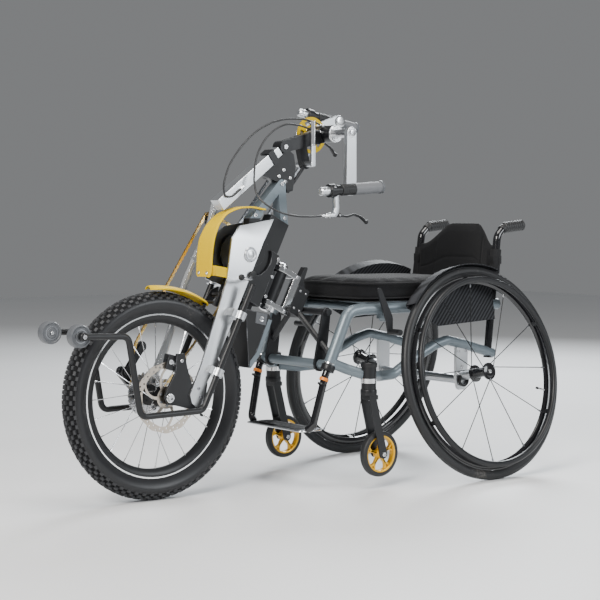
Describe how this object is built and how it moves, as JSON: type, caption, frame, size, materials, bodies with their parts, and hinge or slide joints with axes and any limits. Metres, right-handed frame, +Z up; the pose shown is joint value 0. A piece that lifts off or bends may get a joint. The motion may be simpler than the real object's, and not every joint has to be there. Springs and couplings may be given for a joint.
{
  "type": "handcycle",
  "caption": "Three-wheeled handcycle: a hand-cranked front drive unit with a motor, docked to a rigid-frame wheelchair.",
  "frame": {"origin": "on the floor, under the middle of the box round the whole vehicle", "axes": "+X forward, +Y to the rider's left, +Z up"},
  "size_m": [1.5054, 0.6734, 1.0251],
  "materials": {
    "silver_alloy": "satin",
    "polished_alloy": "polished",
    "black_paint": "satin",
    "grey_paint": "satin",
    "yellow_paint": "satin",
    "steel": "brushed",
    "chain_steel": "oiled",
    "black_plastic": "matte",
    "grip": "matte",
    "black_rubber": "matte",
    "front_tyre_rubber": "knobbed",
    "rear_tyre_rubber": "smooth",
    "black_fabric": "woven",
    "carbon": "woven gloss",
    "yellow_plastic": "gloss"
  },
  "bodies": {
    "chair": {"chair_frame": "grey_paint", "axle_assembly": "silver_alloy", "footrest": "black_paint", "seat_sling": "black_fabric", "seat_cushion": "black_fabric", "backrest": "black_fabric", "push_handle_left": "black_rubber", "push_handle_right": "black_rubber", "side_guard_left": "carbon", "side_guard_right": "carbon", "dock_yoke": "polished_alloy", "dock_frame": "black_paint"},
    "front_unit": {"fork_plate_left": "silver_alloy", "fork_side_right": "silver_alloy", "dropout_left": "black_paint", "steering_column": "black_paint", "motor_housing": "black_paint", "battery": "black_plastic", "boom_outer": "silver_alloy", "boom_inner": "silver_alloy", "boom_strut": "grey_paint", "crank_carrier": "black_paint", "chain_guard": "yellow_paint", "mudguard": "yellow_plastic", "brake_caliper": "black_paint", "derailleur_body": "black_paint", "brake_cable": "black_plastic", "control_cable": "black_plastic", "upper_chain": "chain_steel", "lower_chain": "chain_steel"},
    "dock_lever": {"dock_lever": "black_plastic"},
    "crank": {"crank_axle": "steel", "crank_arm_left": "silver_alloy", "crank_arm_right": "silver_alloy"},
    "handle_left": {"handle_left": "grip"},
    "handle_right": {"handle_right": "grip"},
    "brake_lever_left": {"brake_lever_left": "black_paint"},
    "brake_lever_right": {"brake_lever_right": "black_paint"},
    "motor_sprocket": {"motor_sprocket": "steel"},
    "idler_wheel": {"idler_wheel": "black_plastic"},
    "cassette": {"cassette": "steel"},
    "derailleur_cage": {"derailleur_cage": "black_paint"},
    "front_wheel": {"front_tyre": "front_tyre_rubber", "front_wheel": "black_paint", "brake_rotor": "steel"},
    "release_lever": {"release_lever": "steel"},
    "stand_leg_left": {"stand_leg_left": "black_paint"},
    "stand_roller_left": {"stand_roller_left": "black_rubber"},
    "rear_wheel_left": {"rear_wheel_left": "black_paint", "rear_tyre_left": "rear_tyre_rubber"},
    "caster_fork_left": {"caster_fork_left": "black_paint"},
    "caster_wheel_left": {"caster_wheel_left": "yellow_plastic"},
    "wheel_lock_left": {"wheel_lock_left": "black_paint"},
    "stand_leg_right": {"stand_leg_right": "black_paint"},
    "stand_roller_right": {"stand_roller_right": "black_rubber"},
    "rear_wheel_right": {"rear_wheel_right": "black_paint", "rear_tyre_right": "rear_tyre_rubber"},
    "caster_fork_right": {"caster_fork_right": "black_paint"},
    "caster_wheel_right": {"caster_wheel_right": "yellow_plastic"},
    "wheel_lock_right": {"wheel_lock_right": "black_paint"}
  },
  "joints": [
    {"name": "steering", "type": "hinge", "parent": "chair", "child": "front_unit", "pos_m": [0.08571, 0, 0.53117], "axis": [-0.4462, 0, 0.8949], "range_deg": [-30, 30]},
    {"name": "dock_lever_hinge", "type": "hinge", "parent": "chair", "child": "dock_lever", "pos_m": [0.00071, 0, 0.54117], "axis": [0, 1, 0], "range_deg": [-55, 0]},
    {"name": "crank_spin", "type": "hinge", "parent": "front_unit", "child": "crank", "pos_m": [-0.08629, 0, 0.94417], "axis": [0, 1, 0], "continuous": true, "deforming": ["brake_cable"]},
    {"name": "handle_left_spin", "type": "hinge", "parent": "crank", "child": "handle_left", "pos_m": [-0.08629, 0.11, 0.79417], "axis": [0, 1, 0], "continuous": true, "deforming": ["brake_cable"]},
    {"name": "handle_right_spin", "type": "hinge", "parent": "crank", "child": "handle_right", "pos_m": [-0.22895, -0.11, 0.99052], "axis": [0, 1, 0], "continuous": true},
    {"name": "brake_lever_left_hinge", "type": "hinge", "parent": "handle_left", "child": "brake_lever_left", "pos_m": [-0.02542, 0.137, 0.72341], "axis": [0, 1, 0], "range_deg": [0, 10], "stiffness_Nm_per_rad": 0.6, "springref_deg": -8.59},
    {"name": "brake_lever_right_hinge", "type": "hinge", "parent": "handle_right", "child": "brake_lever_right", "pos_m": [-0.15249, -0.137, 0.93699], "axis": [0, -1, 0], "range_deg": [-10, 0], "stiffness_Nm_per_rad": 0.6, "springref_deg": 8.59},
    {"name": "motor_sprocket_spin", "type": "hinge", "parent": "front_unit", "child": "motor_sprocket", "pos_m": [0.18071, 0, 0.62017], "axis": [0, 1, 0], "continuous": true},
    {"name": "idler_spin", "type": "hinge", "parent": "front_unit", "child": "idler_wheel", "pos_m": [0.25771, 0, 0.71217], "axis": [0, 1, 0], "continuous": true},
    {"name": "cassette_spin", "type": "hinge", "parent": "front_unit", "child": "cassette", "pos_m": [0.46271, 0, 0.26417], "axis": [0, 1, 0], "continuous": true},
    {"name": "derailleur_cage_hinge", "type": "hinge", "parent": "front_unit", "child": "derailleur_cage", "pos_m": [0.51271, 0, 0.32217], "axis": [0, 1, 0], "range_deg": [-12, 12], "stiffness_Nm_per_rad": 0.8, "deforming": ["lower_chain"]},
    {"name": "front_wheel_spin", "type": "hinge", "parent": "front_unit", "child": "front_wheel", "pos_m": [0.46271, 0, 0.26417], "axis": [0, 1, 0], "continuous": true},
    {"name": "release_lever_hinge", "type": "hinge", "parent": "front_unit", "child": "release_lever", "pos_m": [-0.01729, 0, 0.86117], "axis": [0, 1, 0], "range_deg": [0, 40]},
    {"name": "stand_left_swing", "type": "hinge", "parent": "front_unit", "child": "stand_leg_left", "pos_m": [0.22171, 0.09, 0.54217], "axis": [-0.4462, 0, 0.8949], "range_deg": [0, 150]},
    {"name": "stand_roller_left_spin", "type": "hinge", "parent": "stand_leg_left", "child": "stand_roller_left", "pos_m": [0.72471, 0.069, 0.43017], "axis": [0, 1, 0], "continuous": true},
    {"name": "rear_wheel_left_spin", "type": "hinge", "parent": "chair", "child": "rear_wheel_left", "pos_m": [-0.45829, 0.247, 0.29117], "axis": [0, 0.9803, 0.1977], "continuous": true},
    {"name": "caster_left_swivel", "type": "hinge", "parent": "chair", "child": "caster_fork_left", "pos_m": [-0.07529, 0.206, 0.29017], "axis": [0, 0, 1], "continuous": true},
    {"name": "caster_wheel_left_spin", "type": "hinge", "parent": "caster_fork_left", "child": "caster_wheel_left", "pos_m": [-0.11429, 0.206, 0.09017], "axis": [0, 1, 0], "continuous": true},
    {"name": "wheel_lock_left_hinge", "type": "hinge", "parent": "chair", "child": "wheel_lock_left", "pos_m": [-0.16729, 0.181, 0.44817], "axis": [0, 1, 0], "range_deg": [0, 12]},
    {"name": "stand_right_swing", "type": "hinge", "parent": "front_unit", "child": "stand_leg_right", "pos_m": [0.22171, -0.09, 0.54217], "axis": [-0.4462, 0, 0.8949], "range_deg": [-150, 0]},
    {"name": "stand_roller_right_spin", "type": "hinge", "parent": "stand_leg_right", "child": "stand_roller_right", "pos_m": [0.72471, -0.069, 0.43017], "axis": [0, 1, 0], "continuous": true},
    {"name": "rear_wheel_right_spin", "type": "hinge", "parent": "chair", "child": "rear_wheel_right", "pos_m": [-0.45829, -0.247, 0.29117], "axis": [0, 0.9803, -0.1977], "continuous": true},
    {"name": "caster_right_swivel", "type": "hinge", "parent": "chair", "child": "caster_fork_right", "pos_m": [-0.07529, -0.206, 0.29017], "axis": [0, 0, 1], "continuous": true},
    {"name": "caster_wheel_right_spin", "type": "hinge", "parent": "caster_fork_right", "child": "caster_wheel_right", "pos_m": [-0.11429, -0.206, 0.09017], "axis": [0, 1, 0], "continuous": true},
    {"name": "wheel_lock_right_hinge", "type": "hinge", "parent": "chair", "child": "wheel_lock_right", "pos_m": [-0.16729, -0.181, 0.44817], "axis": [0, 1, 0], "range_deg": [0, 12]}
  ],
  "couplings": [
    {"joint": "motor_sprocket_spin", "follows": "crank_spin", "ratio": 1},
    {"joint": "idler_spin", "follows": "crank_spin", "ratio": 3.875},
    {"joint": "cassette_spin", "follows": "crank_spin", "ratio": 1.55}
  ]
}
